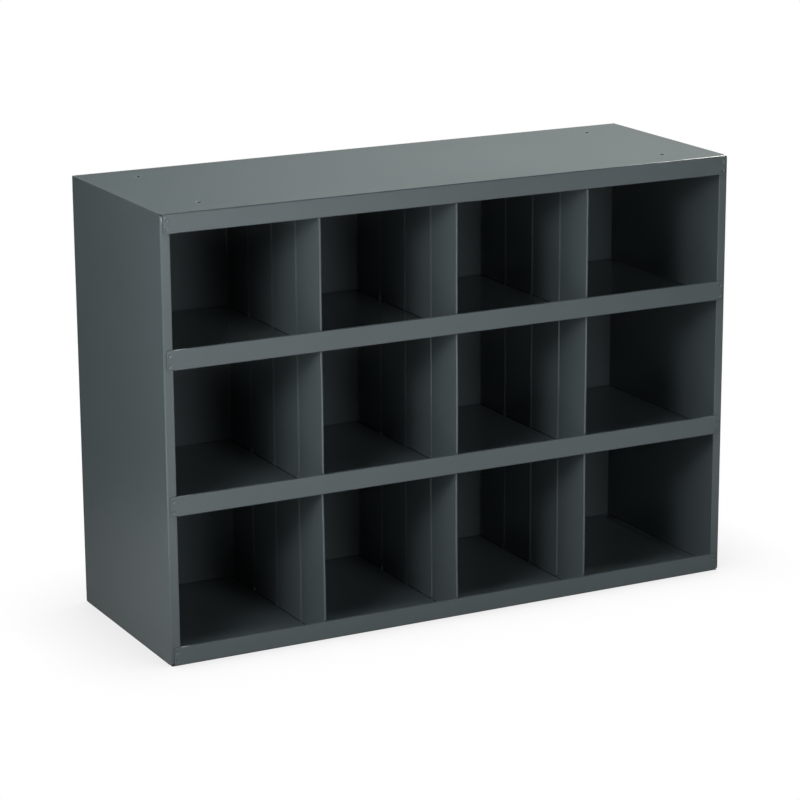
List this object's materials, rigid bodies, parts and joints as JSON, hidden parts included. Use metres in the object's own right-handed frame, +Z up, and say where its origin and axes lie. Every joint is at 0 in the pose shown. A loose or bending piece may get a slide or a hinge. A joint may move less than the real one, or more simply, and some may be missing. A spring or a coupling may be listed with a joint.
{
  "type": "pigeonhole mail sorter",
  "caption": "Open-front pigeonhole unit of painted sheet steel for sorting mail: closed back, lipped shelves and upright ribbed dividers.",
  "frame": {"origin": "under the middle of the case, on the surface it stands on", "axes": "+Z up, the open front faces -Y, +X to the right of someone facing the front"},
  "size_m": [0.8572, 0.3048, 0.6064],
  "materials": {
    "case_enamel": "semi-gloss enamel",
    "back_enamel": "semi-gloss enamel",
    "shelf_enamel": "semi-gloss enamel",
    "divider_enamel": "semi-gloss enamel"
  },
  "bodies": {
    "root": {"left_side": "case_enamel", "right_side": "case_enamel", "top_panel": "case_enamel", "bottom_panel": "case_enamel", "back_panel": "back_enamel", "upper_shelf": "shelf_enamel", "lower_shelf": "shelf_enamel", "divider_top_left": "divider_enamel", "divider_top_centre": "divider_enamel", "divider_top_right": "divider_enamel", "divider_middle_left": "divider_enamel", "divider_middle_centre": "divider_enamel", "divider_middle_right": "divider_enamel", "divider_bottom_left": "divider_enamel", "divider_bottom_centre": "divider_enamel", "divider_bottom_right": "divider_enamel"}
  },
  "joints": []
}
